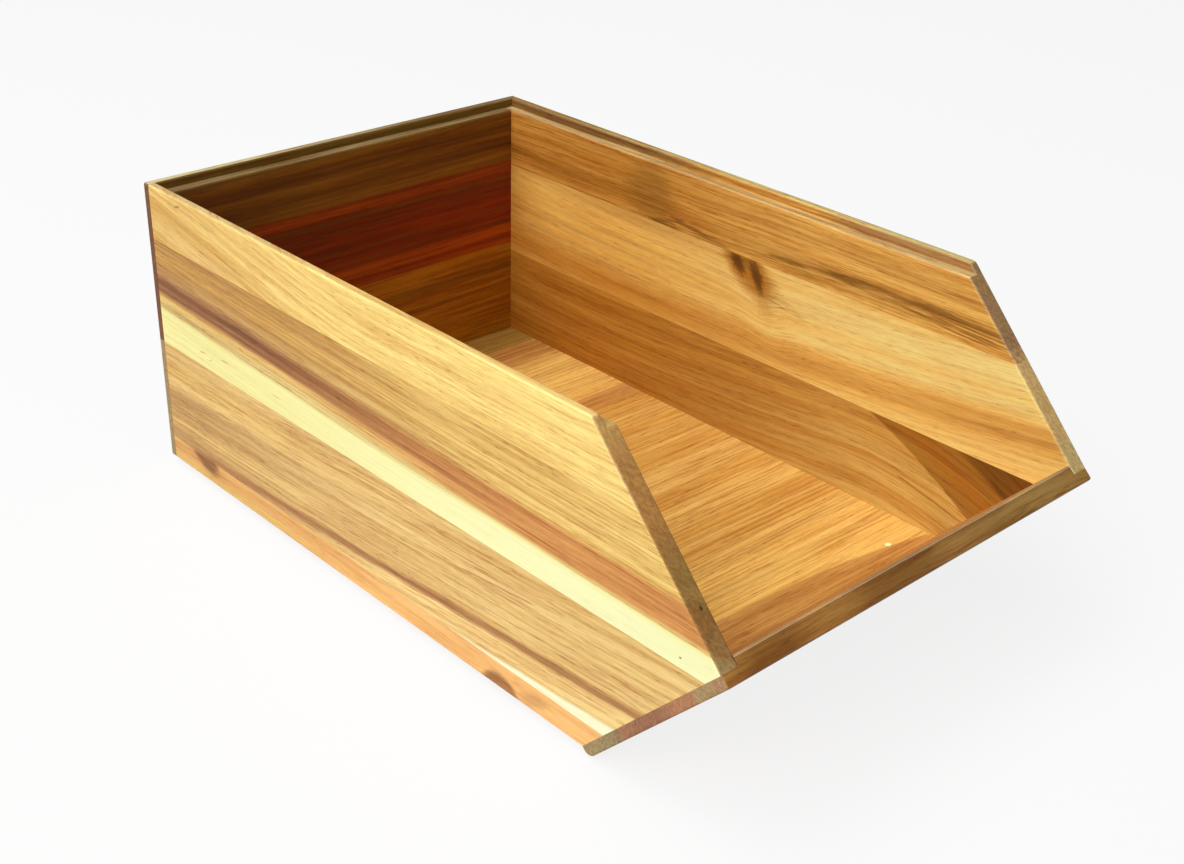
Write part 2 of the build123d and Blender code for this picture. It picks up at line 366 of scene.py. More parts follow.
def make_wood_finish():
    """Lays the small figure over a stave's colours, and gives the oiled surface's roughness and height.

    The tone makes up for what the darker lines take away, and the pale sapwood shows less of them all.
    """
    takes = {"Wood": (0.5, 0.3, 0.1, 1), "Tone": (1.1, 1.15, 1.2, 1), "Line Tint": (0.7, 0.55, 0.4, 1)}
    takes |= {"End Colour": (0.4, 0.22, 0.07, 1), "Line Depth": 0.6, "Vein Depth": 0.6, "Pore Depth": 0.35}
    takes |= {"Cloud Depth": 0.3, "Edge Wear And Highlight": 0.08, "End Grain": 0.0, "Edge": 0.0}
    takes |= dict.fromkeys(FIGURES, 0.0)
    wires, given, out = start_group("wood_finish", takes, ["Color", "Roughness", "Height"])
    blue = wires.node("ShaderNodeSeparateColor", {0: given["Wood"]}).outputs["Blue"]
    shown = wires.times_plus(wires.ease(blue, 0.24, 0.38), -SAPWOOD_CALM, 1.0)
    fibres, on_end = given["Fibres"], given["End Grain"]

    def darken(colour, mask, depth, tint):
        return wires.mix(wires.times(wires.times(mask, depth), shown), colour, tint, "MULTIPLY")

    wood = darken(given["Wood"], wires.minus(1.0, given["Lines"]), given["Line Depth"], given["Line Tint"])
    wood = darken(wood, given["Clouds"], given["Cloud Depth"], given["Line Tint"])
    wood = darken(wood, given["Veins"], given["Vein Depth"], VEIN_TINT)
    wood = darken(wood, wires.ease(fibres, 0.62, 0.36), 0.4, FIBRE_TINT)
    wood = wires.mix(shown, wood, given["Tone"], "MULTIPLY")
    wood = wires.mix(wires.times(on_end, END_SHARE), wood, given["End Colour"])
    mottled = wires.times(wires.times(given["Mottling"], on_end), 0.6)
    wood = wires.mix(mottled, wood, MOTTLING_TINT, "MULTIPLY")
    wood = darken(wood, given["Pores"], given["Pore Depth"], PORE_TINT)
    # pale edges: partly wear, partly a painted highlight along the rounded edges
    wood = wires.mix(wires.times(given["Edge"], given["Edge Wear And Highlight"]), wood, EDGE_WEAR_AND_HIGHLIGHT_TINT, "SCREEN")
    wires.feed(out["Color"], wires.mix(1.0, wood, PALEST, "DARKEN"))
    roughness = OILED_ROUGHNESS
    for rougher, amount in ((fibres, 0.14), (given["Pores"], 0.18), (on_end, 0.14), (given["Edge"], 0.05)):
        roughness = wires.times_plus(rougher, amount, roughness)
    wires.feed(out["Roughness"], roughness)
    height = wires.times_plus(given["Lines"], 0.25, wires.times(fibres, 0.5))
    wires.feed(out["Height"], wires.times_plus(given["Pores"], -0.7, height))


make_board_place()
make_grain_run()
make_patch()
make_knot()
make_streak()
make_slant()
make_fine_grain()
make_milled_lip()
make_sanded_edge()
make_wood_finish()


# The wood's colours

PALETTE = {
    "pale cream": (0.92, 0.92, 0.62),
    "bright cream": (0.905, 0.9, 0.495),
    "cream": (0.895, 0.83, 0.35),
    "light honey": (0.92, 0.69, 0.26),
    "pale honey": (0.86, 0.6, 0.215),
    "honey": (0.75, 0.475, 0.15),
    "deep honey": (0.63, 0.355, 0.092),
    "dull honey": (0.51, 0.265, 0.062),
    "pale tan": (0.87, 0.61, 0.27),
    "light tan": (0.79, 0.54, 0.235),
    "tan": (0.75, 0.49, 0.19),
    "brown tan": (0.56, 0.33, 0.12),
    "grey yellow": (0.72, 0.53, 0.215),
    "pink tan": (0.69, 0.325, 0.108),
    "orange tan": (0.87, 0.48, 0.19),
    "orange rust": (0.66, 0.295, 0.085),
    "rust": (0.6, 0.25, 0.072),
    "brown": (0.385, 0.158, 0.05),
    "plum brown": (0.22, 0.076, 0.012),
    "sun gold": (0.96, 0.64, 0.225),
    "bright gold": (0.95, 0.56, 0.165),
    "honey gold": (0.8, 0.46, 0.135),
    "gold": (0.86, 0.43, 0.1),
    "deep gold": (0.82, 0.385, 0.075),
    "dull gold": (0.72, 0.345, 0.08),
    "amber": (0.63, 0.26, 0.045),
    "russet gold": (0.56, 0.205, 0.027),
    "russet": (0.47, 0.155, 0.013),
    "wedge brown": (0.42, 0.165, 0.022),
    "dark russet": (0.215, 0.07, 0.006),
    "olive brown": (0.33, 0.13, 0.018),
    "back olive": (0.27, 0.107, 0.009),
    "umber": (0.14, 0.043, 0.0025),
    "dark olive": (0.2, 0.105, 0.012),
    # colour of painted shade on the right lip's inner face, at the back
    "painted shade brown": (0.23, 0.105, 0.03),
    "red brown": (0.2, 0.0165, 0.001),
    "dark red": (0.18, 0.0145, 0.001),
    "cherry": (0.25, 0.022, 0.001),
    "orange red": (0.37, 0.06, 0.001),
    "light oak brown": (0.47, 0.185, 0.003),
    "oak brown": (0.385, 0.14, 0.003),
    "dull oak brown": (0.345, 0.145, 0.003),
    "knot brown": (0.15, 0.05, 0.006),
    "speck": (0.02, 0.012, 0.004),
    "grey olive": (0.425, 0.205, 0.037),
    "rose brown": (0.56, 0.222, 0.05),
    "moss": (0.365, 0.29, 0.147),
    "dark moss": (0.29, 0.2, 0.105),
    "pink moss": (0.455, 0.265, 0.135),
    "light moss": (0.43, 0.31, 0.145),
    "mauve": (0.4, 0.19, 0.1),
    "dark mauve": (0.325, 0.152, 0.088),
    "rim mauve": (0.43, 0.245, 0.13),
    "light mauve": (0.48, 0.225, 0.113),
    "dark plum": (0.2, 0.08, 0.032),
    "nose brown": (0.46, 0.225, 0.052),
    "nose olive": (0.39, 0.225, 0.062),
    "light rim brown": (0.67, 0.35, 0.11),
    "rim brown": (0.53, 0.233, 0.062),
    "deep rim brown": (0.32, 0.165, 0.04),
    "rim tan": (0.39, 0.215, 0.07),
    "rim olive": (0.38, 0.24, 0.105),
    "light rim olive": (0.76, 0.49, 0.195),
    "pale rim olive": (0.72, 0.56, 0.25),
    "ledge rose": (0.55, 0.345, 0.15),
    "lip honey": (0.85, 0.585, 0.235),
    "lip tan": (0.68, 0.5, 0.26),
    "dull lip": (0.42, 0.245, 0.06),
    "pale lip": (0.67, 0.51, 0.2),
    "bright lip": (0.66, 0.55, 0.31),
    "dim lip": (0.31, 0.21, 0.09),
    "grey ledge": (0.285, 0.19, 0.082),
    # colour of painted shade on the right lip's inner face, towards the front
    "painted lip shade": (0.4, 0.18, 0.065),
}


def colour(name):
    return (*PALETTE[name], 1)


# Boards: a corner of the face that the light falls on, and the directions along, across and through it

FORWARD = (0, -1, 0)
UP = (0, 0, 1)
RIGHTWARD = (1, 0, 0)
LEFT = dict(Along=FORWARD, Across=UP, Through=RIGHTWARD, Corner=(-WIDTH / 2, BACK_Y, BOTTOM_EDGE))
RIGHT = dict(LEFT, Corner=(WIDTH / 2 - WALL, BACK_Y, BOTTOM_EDGE))
BACK = dict(Along=RIGHTWARD, Across=UP, Through=(0, 1, 0),
            Corner=(-WIDTH / 2, BACK_Y - BACK_THICKNESS, BOTTOM_EDGE))
FLOOR = dict(Along=RIGHTWARD, Across=FORWARD, Through=(0, 0, -1), Corner=(-WIDTH / 2, BACK_Y, FLOOR_TOP))
FRONT = dict(Along=RIGHTWARD, Across=BOARD_UP, Through=BOARD_OUT,
             Corner=(-WIDTH / 2, BACK_Y - RIM_LENGTH, BOTTOM_EDGE))


# Marks in the wood: each is a kind of mark, its colour, how strong it is and where it lies, in millimetres.
# A point is a distance along the board and a height.

def named(values):
    """Turns keywords such as arch_behind into the names of sockets, such as Arch Behind."""
    return {key.replace("_", " ").title(): value for key, value in values.items()}


def at_spot(from_back, height, half_length, half_height, more):
    """Where a round mark lies, with its half sizes and whatever more is said of it."""
    place = dict(from_back=from_back, height=height, half_length=half_length, half_height=half_height)
    return named({**place, **more})


def on_run(start, end, more):
    """Where a long mark runs, and whatever more is said of it."""
    return named(dict(start=start[0], start_height=start[1], end=end[0], end_height=end[1], **more))


def patch(colour_name, from_back, height, half_length, half_height, strength=1.0, **more):
    """A smudge, with its centre and half sizes."""
    return "patch", colour_name, strength, at_spot(from_back, height, half_length, half_height, more)


def streak(colour_name, start, end, half_thickness, strength=1.0, **more):
    """A dark line between two points."""
    return "streak", colour_name, strength, on_run(start, end, {"half_thickness": half_thickness, **more})


def slant(colour_name, start, end, strength=1.0, **more):
    """All the wood above an edge between two points."""
    return "slant", colour_name, strength, on_run(start, end, more)


def knot(from_back, height, half_length, half_height, halo="russet", halo_strength=0.6, **more):
    """A knot, with its centre and half sizes, the colour of its halo and how strong that is."""
    return halo, halo_strength, at_spot(from_back, height, half_length, half_height, more)


def add_stripes(wires, line, stripes):
    """The colour of a growth line; the stripes are the names of colours by the line's height."""
    low, high = min(stripes), max(stripes)
    share = wires.node("ShaderNodeMapRange", {"Value": line, "From Min": low, "From Max": high}).outputs[0]
    ramp = wires.node("ShaderNodeValToRGB", {0: share})
    stops = ramp.color_ramp.elements
    stops[0].color = colour(stripes[low])
    stops[1].color = colour(stripes[high])
    for height in sorted(stripes)[1:-1]:
        stops.new((height - low) / (high - low)).color = colour(stripes[height])
    return ramp.outputs[0]


KNOT_SEEDS, MARK_SEEDS = 0.37, 0.23  # steps from one seed to the next
STRIPE_TEAR, TURN_TEAR, END_TEAR = 0.8, 14.0, 1.5  # how far the edges of colours are torn, in millimetres
LIP_SHARE, LIP_TURN = 0.9, (20, 180)  # how much of its own colours it shows, and where they change
BUMP_HEIGHT, BUMP_STRENGTH = 0.15 * MM, 0.5
OILED_GLOSS = 0.35


def make_wood(name, board, seed, stripes, ahead=None, turn=None, run=None, marks=(), knots=(), finish=None,
              spacing=2.0, end="rim brown", end_marks=(), lip=None, worn_inside=False):
    """The material of one stave.

    The stripes are its colours by growth line; ahead gives those towards the front or the right, and turn
    the stretch over which one goes over into the other. The end is the colour of its end grain, or its
    stripes by height, and the end's marks are placed by height and by depth through the board. The lip is
    the colours of the lip's top, behind or left and ahead or right, and of its ledge. The edges' pale tint,
    partly wear and partly painted highlight, may keep to the edges inside the bin. The run, marks, knots
    and finish are as their groups take them.
    """
    material = bpy.data.materials.new(name)
    material.use_nodes = True
    tree = material.node_tree
    wires = Wires(tree)

    def use(group, values):
        return wires.node("ShaderNodeGroup", values, node_tree=bpy.data.node_groups[group]).outputs

    def lay(wood, mask, strength, colour_name):
        return wires.mix(wires.times(mask, strength), wood, colour(colour_name))

    place = use("board_place", board)
    here = {axis: place[axis] for axis in AXES}
    lines = use("grain_run", {**here, "Seed": seed, **named(run or {})})
    line, fibre = lines["Line"], lines["Fibre"]
    knots_made = []
    for number, (halo, halo_strength, values) in enumerate(knots):
        made = use("knot", {**here, **values, "Seed": seed + KNOT_SEEDS * (number + 1)})
        line = wires.minus(line, made["Push"])
        fibre = wires.minus(fibre, made["Push"])
        knots_made.append((made, halo, halo_strength))
    grain = {"Along": place["Along"], "Line": line, "Fibre": fibre, "Through": place["Through"]}
    figure = use("fine_grain", {**grain, "Line Spacing": spacing, "Seed": seed})
    torn_line = wires.ragged(line, figure["Fibres"], STRIPE_TEAR)
    wood = add_stripes(wires, torn_line, stripes)
    if ahead:
        passing = wires.ragged(place["Along"], figure["Clouds"], TURN_TEAR)
        wood = wires.mix(wires.ease(passing, *turn), wood, add_stripes(wires, torn_line, ahead))
    for made, halo, halo_strength in knots_made:
        wood = lay(wood, made["Halo"], halo_strength, halo)
    for number, (kind, colour_name, strength, values) in enumerate(marks):
        made = use(kind, {**here, **values, "Seed": seed + MARK_SEEDS * (number + 1)})
        wood = lay(wood, made[0], strength, colour_name)
    for made, _, _ in knots_made:
        wood = lay(wood, made["Heart"], 1.0, "knot brown")
    edge = use("sanded_edge", {})["Edge"]
    # the painted edge highlight, with its wear, kept to the edges inside the bin
    if worn_inside:
        inside_depth = -3.0  # of a point that is on an inner edge for sure
        edge = wires.times(edge, wires.ease(place["Through"], 0.0, inside_depth))
    if isinstance(end, str):
        end = {0: end, RIM_HEIGHT: end}
    end_wood = add_stripes(wires, wires.ragged(place["Across"], figure["Mottling"], END_TEAR), end)
    on_end = {"Along": place["Across"], "Across": place["Through"], "Through": place["Along"]}
    for kind, colour_name, strength, values in end_marks:
        end_wood = lay(end_wood, use(kind, {**on_end, **values})[0], strength, colour_name)
    if lip:
        cuts = use("milled_lip", {"Across": place["Across"]})
        top = wires.mix(wires.ease(place["Along"], *LIP_TURN), colour(lip[0]), colour(lip[1]))
        wood = wires.mix(wires.times(cuts["Lip Top"], LIP_SHARE), wood, top)
        wood = lay(wood, cuts["Ledge"], LIP_SHARE, lip[2])
    surface = {"Wood": wood, "End Colour": end_wood, "End Grain": place["End Grain"], "Edge": edge}
    surface |= {key: figure[key] for key in FIGURES}
    finished = use("wood_finish", {**surface, **named(finish or {})})
    bump_inputs = {"Height": finished["Height"], "Distance": BUMP_HEIGHT, "Strength": BUMP_STRENGTH}
    shader = tree.nodes["Principled BSDF"].inputs
    wires.feed(shader["Base Color"], finished["Color"])
    wires.feed(shader["Roughness"], finished["Roughness"])
    wires.feed(shader["Normal"], wires.node("ShaderNodeBump", bump_inputs).outputs["Normal"])
    wires.feed(shader["Specular IOR Level"], OILED_GLOSS)
    return material


def dress(node_name, wood_name, board, **wood):
    """Gives a stave its wood in the slot that its mesh has."""
    material = make_wood(wood_name, board, **wood)
    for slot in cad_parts[node_name].material_slots:
        slot.material = material


# Tints of the growth lines
PALE_LINES = (0.8, 0.65, 0.48, 1)
BROWN_LINES = (0.7, 0.54, 0.38, 1)
RED_LINES = (0.66, 0.46, 0.28, 1)


# Left side, whose outer face is the brightest of the bin

left_finish = dict(line_tint=BROWN_LINES, pore_depth=0.6, tone=(1.145, 1.2, 1.055, 1))

dress(
    "left_side_top_stave", "pale_honey_wood", LEFT, seed=1.1, spacing=1.9,
    stripes={82: "honey", 87: "deep honey", 91: "honey", 96: "tan", 100: "honey", 104: "deep honey",
             107: "honey", 112: "pale honey", 117: "honey", 124: "pale honey", 136: "pale honey"},
    ahead={90: "pale honey", 109: "light honey", 113: "pale honey", 117: "light honey", 123: "pale honey",
           128: "light honey", 138: "light honey"},
    turn=(30, 180),
    run=dict(middle=140, rise_behind=-0.17, waver=1.3, lean=0.35),
    marks=[
        streak("brown tan", (0, 133.4), (60, 127.5), 0.9, 0.6, strands=0.5, waver=0.6, raggedness=0.9),
        streak("brown tan", (40, 129.6), (122, 117.5), 0.9, 0.6, strands=0.5, waver=0.8, raggedness=0.9),
        streak("brown tan", (16, 121.5), (72, 110.5), 0.9, 0.5, strands=0.5, waver=0.8, raggedness=0.9),
        patch("brown", 27.5, 131.0, 2.2, 0.55, 0.8, tilt=0.3, softness=0.5),
    ],
    finish=dict(left_finish, line_tint=PALE_LINES, line_depth=0.8),
    end={108: "rim brown", 121: "rim brown", 129: "light rim brown", 136: "light rim brown"},
    lip=("lip tan", "lip honey", "ledge rose"),
)

dress(
    "left_side_upper_stave", "honey_wood", LEFT, seed=2.3, spacing=1.3,
    stripes={54: "cream", 70.5: "cream", 72: "grey yellow", 75: "grey yellow", 76.3: "honey", 77.6: "honey",
             78.6: "brown tan", 79.6: "brown", 80.6: "plum brown", 82.2: "brown", 83.2: "plum brown",
             85.2: "plum brown", 86.8: "brown", 89.4: "brown tan", 93: "dull honey", 97: "deep honey",
             103: "dull honey", 112: "deep honey"},
    ahead={54: "bright cream", 71: "bright cream", 72.8: "cream", 74: "tan", 75.2: "rust",
           76.4: "orange rust", 77.4: "rust", 79.2: "orange rust", 81: "rust", 82.5: "orange rust",
           84.5: "rust", 85.8: "orange rust", 87.5: "honey", 90: "pale honey", 94: "honey",
           98: "pale honey", 103: "honey", 112: "pale honey"},
    turn=(60, 280),
    run=dict(middle=180, rise_behind=-0.033, rise_ahead=-0.012, waver=0.7, lean=0.5),
    marks=[
        patch("knot brown", 332, 64.1, 0.5, 0.4, 0.8),
        patch("tan", 38, 66.8, 2.2, 0.4, 0.5, tilt=0.2, softness=0.6),
        patch("tan", 44.5, 65.2, 1.2, 0.4, 0.6, tilt=0.4, softness=0.6),
        patch("tan", 57, 69.0, 3.0, 0.35, 0.4, tilt=0.1, softness=0.6),
        patch("tan", 96, 67.5, 3.4, 0.35, 0.4, softness=0.6),
    ],
    finish=dict(left_finish, line_depth=0.8, vein_depth=0.7, cloud_depth=0.25, edge_wear_and_highlight=0.0),
    end={66: "rim tan", 72: "rim tan", 79: "deep rim brown", 92: "deep rim brown", 108: "rim brown"},
    end_marks=[patch("speck", 82.7, 5.2, 0.7, 0.6, raggedness=0.1)],
)

dress(
    "left_side_lower_stave", "tan_wood", LEFT, seed=3.7, spacing=1.5,
    stripes={-4: "tan", 12: "brown tan", 19: "brown tan", 25: "tan", 30: "brown tan", 39: "brown tan",
             44: "tan", 50: "honey", 56: "tan", 66: "tan"},
    ahead={-6: "pale cream", 4.0: "pale cream", 5.4: "light tan", 8: "pale tan", 13: "pale tan", 17: "tan",
           24: "light tan", 32: "tan", 38: "light tan", 45: "tan", 66: "light tan"},
    turn=(10, 190),
    run=dict(middle=100, rise_behind=0.03, rise_ahead=0.06, waver=0.9, lean=0.4),
    marks=[
        streak("brown", (10, 10.8), (175, 19.5), 2.3, strands=0.1),
        streak("brown", (145, 17.5), (340, 31.6), 2.3, waver=0.6, strands=0.1),
        streak("brown", (216, 42.8), (262, 47.6), 0.5, 0.8, raggedness=0.9),
        streak("brown tan", (0, 38.0), (90, 38.5), 1.0, 0.6, raggedness=0.9),
    ],
    finish=dict(left_finish, line_depth=0.75, vein_depth=0.8, cloud_depth=0.2),
)

dress(
    "left_side_bottom_stave", "orange_tan_wood", LEFT, seed=4.9, spacing=2.4,
    stripes={-6: "pink tan", 4: "honey", 8: "pink tan", 14: "honey"},
    ahead={-6: "orange tan", 14: "orange tan"},
    turn=(60, 200),
    run=dict(middle=150, rise_behind=0.01, rise_ahead=0.01, waver=0.8),
    marks=[
        patch("rust", 29, 11.5, 15, 6.5, 0.6, tilt=-0.3, softness=0.6),
        patch("plum brown", 31, 12.4, 11.5, 6.6, tilt=-0.3, softness=0.25, raggedness=0.35, streaks=0.25),
        patch("brown", 241, -1.0, 10.5, 7.2, softness=0.2, raggedness=0.2),
        patch("plum brown", 240, -0.5, 9.5, 6.6, 0.6, softness=0.2, streaks=0.6),
        patch("rust", 243.5, -3.0, 7.0, 5.0, 0.5),
        patch("brown", 259, 4.5, 8, 3.0, 0.4, tilt=0.3, softness=0.6),
    ],
    finish=dict(left_finish, line_tint=PALE_LINES, vein_depth=0.3, pore_depth=0.35),
)


# Right side, seen on its inner face

right_finish = dict(line_tint=RED_LINES, tone=(1.16, 1.41, 1.45, 1))

dress(
    "right_side_top_stave", "streaked_gold_wood", RIGHT, seed=5.2, spacing=1.3,
    stripes={98: "russet gold", 104: "amber", 108: "russet gold", 112: "russet", 115: "amber",
             121: "russet gold", 127: "amber", 138: "russet gold"},
    ahead={98: "gold", 107: "gold", 110: "dull gold", 115: "gold", 120: "dull gold", 127: "gold",
           138: "dull gold"},
    turn=(90, 220),
    run=dict(middle=120, rise_behind=0.005, rise_ahead=0.005, waver=1.1, lean=0.4),
    marks=[
        patch("olive brown", 110, 114.5, 15, 14, 0.8, softness=0.5, raggedness=0.7, streaks=0.3),
        patch("olive brown", 60, 110, 60, 3.5, 0.35, softness=0.6, raggedness=0.8),
        streak("knot brown", (4, 112.8), (32, 112.2), 0.5, 0.6, waver=0.3),
        streak("knot brown", (47, 109.1), (71, 109.6), 0.5, 0.5, waver=0.3),
        patch("knot brown", 122, 103.2, 9, 1.8, 0.85, softness=0.5, raggedness=0.9, streaks=0.6),
        patch("olive brown", 140, 104.5, 22, 3.2, 0.7, softness=0.6, raggedness=0.8, streaks=0.9),
        streak("knot brown", (110, 101.6), (134, 107.4), 1.3, 0.7, waver=1.0, raggedness=1.8, strands=0.6),
        streak("knot brown", (122, 107.6), (150, 103.6), 1.3, 0.7, waver=1.0, raggedness=1.8, strands=0.6),
        streak("olive brown", (138, 105.4), (166, 101.8), 1.4, 0.8, waver=0.9, raggedness=1.6, strands=0.6),
        patch("olive brown", 236, 108.8, 66, 4.4, 0.3, tilt=0.02, softness=0.7, raggedness=0.6),
        patch("olive brown", 226, 108.6, 60, 2.4, 0.7, tilt=0.05, softness=0.5, raggedness=0.9, streaks=1),
        streak("dark russet", (180, 106.6), (248, 112.3), 1.1, 0.8, raggedness=1.3, strands=0.6),
        streak("dark russet", (236, 111.7), (318, 110.4), 1.1, 0.8, waver=0.6, raggedness=1.3, strands=0.6),
        streak("dark russet", (226, 108.2), (316, 107.0), 0.7, 0.7, waver=0.7, raggedness=1.2, strands=0.5),
        patch("knot brown", 231, 110.6, 11, 1.4, 0.65, tilt=0.07, softness=0.5, raggedness=0.8,
              streaks=0.4),
        patch("knot brown", 279, 111.8, 14, 1.3, 0.65, tilt=-0.02, softness=0.5, raggedness=0.8,
              streaks=0.4),
        patch("olive brown", 292, 107.8, 38, 4.4, 0.8, tilt=-0.05, softness=0.5, raggedness=0.9, streaks=1),
        patch("olive brown", 230, 103.6, 70, 1.6, 0.4, tilt=0.01, softness=0.5, raggedness=0.9, streaks=1),
        # painted shade on the lip's inner face: darker at the back, and again towards the front
        patch("painted shade brown", 30, 132.6, 112, 2.2, 0.95, softness=0.3),
        patch("painted lip shade", 262, 132.6, 48, 2.2, 0.9, softness=0.3),
    ],
    finish=dict(right_finish, line_depth=0.75, vein_depth=0.8, pore_depth=0.55, edge_wear_and_highlight=0.04),
    end={100: "light rim olive", 107: "rim mauve", 114: "rim olive", 120: "rim mauve", 127: "rim olive",
         136: "rim olive"},
    lip=("dull lip", "pale lip", "ledge rose"),
)

dress(
    "right_side_upper_stave", "gold_wood", RIGHT, seed=6.4, spacing=1.9,
    stripes={50: "amber", 55: "amber", 58: "russet gold", 62: "russet gold", 66: "amber", 71: "dull gold",
             74: "deep gold", 79: "dull gold", 83: "deep gold", 86: "dull gold", 88: "deep gold",
             93: "gold", 98: "dull gold", 104: "dull gold"},
    ahead={44: "bright gold", 54: "bright gold", 59: "gold", 62: "dull gold", 68: "gold",
           71.5: "bright gold", 74: "sun gold", 80: "bright gold", 84: "sun gold", 92: "sun gold",
           97: "bright gold", 104: "sun gold"},
    turn=(70, 260),
    run=dict(middle=150, arch_behind=1.8, arch_ahead=3.4, waver=0.6, lean=0.4),
    marks=[
        patch("russet", 175, 96.5, 15, 8.5, 0.8, tilt=-0.35, softness=0.5, raggedness=0.5),
        patch("olive brown", 171, 100.5, 10, 3.8, 0.8, tilt=-0.1, softness=0.5, raggedness=0.6),
        patch("olive brown", 191, 87.6, 13, 2.2, 0.6, tilt=-0.15, softness=0.6, raggedness=0.9,
              streaks=0.8),
        # painted shade: the wall darker next to the back corner
        patch("russet gold", 4, 78, 22, 34, 0.6, softness=0.9),
    ],
    knots=[
        knot(167.8, 98.2, 3.2, 7.2, turn=38),
        knot(179.4, 95.2, 3.4, 9.6, turn=27),
    ],
    finish=dict(right_finish, line_depth=0.38, vein_depth=0.3, cloud_depth=0.25, pore_depth=0.5,
                edge_wear_and_highlight=0.03),
    end={62: "pale rim olive", 73: "pale rim olive", 80: "light rim olive", 104: "light rim olive"},
)

dress(
    "right_side_lower_stave", "russet_wood", RIGHT, seed=7.6, spacing=1.6,
    stripes={18: "russet", 28: "russet", 36: "russet gold", 43: "russet", 50: "russet gold", 56: "russet",
             64: "russet gold", 72: "russet"},
    ahead={6: "dull gold", 14: "honey gold", 21: "dull gold", 27: "honey gold", 33: "dull gold",
           38: "honey gold", 44: "dull gold", 64: "dull gold"},
    turn=(70, 290),
    run=dict(middle=235, rise_behind=0.12, rise_ahead=0.06, arch_behind=3.6, arch_ahead=-26, lean=0.0),
    marks=[
        slant("wedge brown", (248, 55.5), (304, 26.6), 0.95, bow=1.8, softness=0.7, raggedness=0.8),
        slant("russet", (262, 56.0), (312, 29.0), 0.75, bow=1.0, softness=3.5, raggedness=2.0),
        slant("wedge brown", (278, 56.5), (318, 34.0), 0.7, bow=1.0, softness=3.5, raggedness=2.0),
        slant("dark russet", (292, 57.0), (326, 40.0), 0.95, softness=1.6, raggedness=1.2),
        patch("knot brown", 318, 45.6, 4.0, 1.2, 0.7, tilt=-0.5, softness=0.5),
        streak("olive brown", (266, 31.2), (306, 22.4), 0.7, 0.75, raggedness=0.8),
    ],
    finish=dict(right_finish, pore_depth=0.6, tone=(1.06, 1.3, 1.27, 1)),
    end="light rim olive",
)

dress(
    "right_side_bottom_stave", "dark_russet_wood", RIGHT, seed=8.1, spacing=2.2,
    stripes={-6: "russet", 4: "amber", 10: "russet"},
    run=dict(waver=0.8),
    finish=right_finish,
    end="rim olive",
)


# Back, of the darkest wood

back_finish = dict(line_tint=(0.6, 0.42, 0.3, 1), line_depth=0.9, vein_depth=0.7, tone=(1.2, 1.3, 1.25, 1))

dress(
    "back_top_stave", "umber_wood", BACK, seed=9.5, spacing=1.8,
    stripes={100: "umber", 107: "back olive", 112: "umber", 117: "back olive", 121: "umber",
             127: "back olive", 129.2: "dark olive", 136: "dark olive"},
    run=dict(rise_behind=0.01, rise_ahead=0.01),
    marks=[patch("umber", 14, 111, 60, 11, 0.6, softness=0.7)],
    finish=back_finish,
    end="dark plum",
    lip=("bright lip", "dim lip", "grey ledge"),
)

dress(
    "back_upper_stave", "red_brown_wood", BACK, seed=10.3,
    stripes={56: "orange red", 61: "orange red", 64: "red brown", 66: "orange red", 70: "orange red",
             72: "dark red", 73.5: "cherry", 76: "red brown", 79: "cherry", 82: "red brown", 85: "cherry",
             87: "dark red", 90: "red brown", 93: "dark red", 95.5: "dark red", 98: "red brown",
             101: "orange red", 105: "red brown", 108: "red brown"},
    run=dict(waver=0.8),
    marks=[
        streak("umber", (10, 97.2), (230, 95.4), 1.4, 0.9, waver=0.4, raggedness=0.8),
        streak("umber", (10, 91.6), (230, 90.4), 0.7, 0.6, waver=0.4, raggedness=0.8),
        streak("umber", (10, 82.0), (230, 78.8), 1.0, 0.6, raggedness=0.8),
        streak("umber", (10, 74.4), (230, 72.8), 0.8, 0.9, waver=0.3, raggedness=0.8),
    ],
    finish=back_finish,
    end="dark plum",
)

dress(
    "back_lower_stave", "brown_wood", BACK, seed=11.7, spacing=2.2,
    stripes={6: "dull oak brown", 16: "light oak brown", 22: "oak brown", 28: "light oak brown",
             33: "oak brown", 43: "oak brown", 46: "dull oak brown", 50: "oak brown", 62: "oak brown"},
    run=dict(rise_behind=0.01, rise_ahead=0.01, waver=1.2),
    marks=[
        streak("umber", (40, 48.6), (230, 46.6), 2.0, 0.5, waver=0.6, raggedness=0.9),
        streak("umber", (40, 38.4), (230, 36.8), 1.6, 0.4, waver=0.6, raggedness=0.9),
        streak("umber", (40, 30.4), (230, 29.0), 1.2, 0.4, waver=0.6, raggedness=0.9),
    ],
    finish=back_finish,
    end="light moss",
)

dress(
    "back_bottom_stave", "dark_brown_wood", BACK, seed=12.9, spacing=2.4,
    stripes={-6: "oak brown", 4: "umber", 12: "oak brown"},
    finish=back_finish,
    end="light moss",
)


# Floor, whose staves run across the bin

floor_woods = {
    "floor_grey_wood": {0: "grey olive", 26: "grey olive", 28: "rose brown", 48: "rose brown"},
    "floor_gold_wood": {44: "dull gold", 57: "gold", 62: "dull gold", 74: "gold", 82: "dull gold",
                        99: "gold"},
    "floor_orange_wood": {95: "rose brown", 107: "rose brown", 112: "amber", 126: "dull gold", 136: "amber",
                          144: "dull gold", 157: "amber"},
    "floor_tan_wood": {153: "dull gold", 164: "amber", 172: "dull gold", 186: "dull gold", 192: "amber",
                       205: "dull gold"},
    "floor_light_gold_wood": {200: "dull gold", 214: "dull gold", 221: "amber", 229: "dull gold",
                              233: "amber", 240: "dull gold", 252: "dull gold"},
    "floor_front_wood": {246: "dull gold", 252: "gold", 262: "dull gold", 268: "gold", 296: "dull gold"},
}
floor_marks = {"floor_front_wood": [
    patch("rose brown", 70, 302, 150, 28, 0.95, softness=0.015, raggedness=0.015),
    patch("bright cream", 181, 282, 1.5, 1.3, softness=0.2, raggedness=0.2),
]}
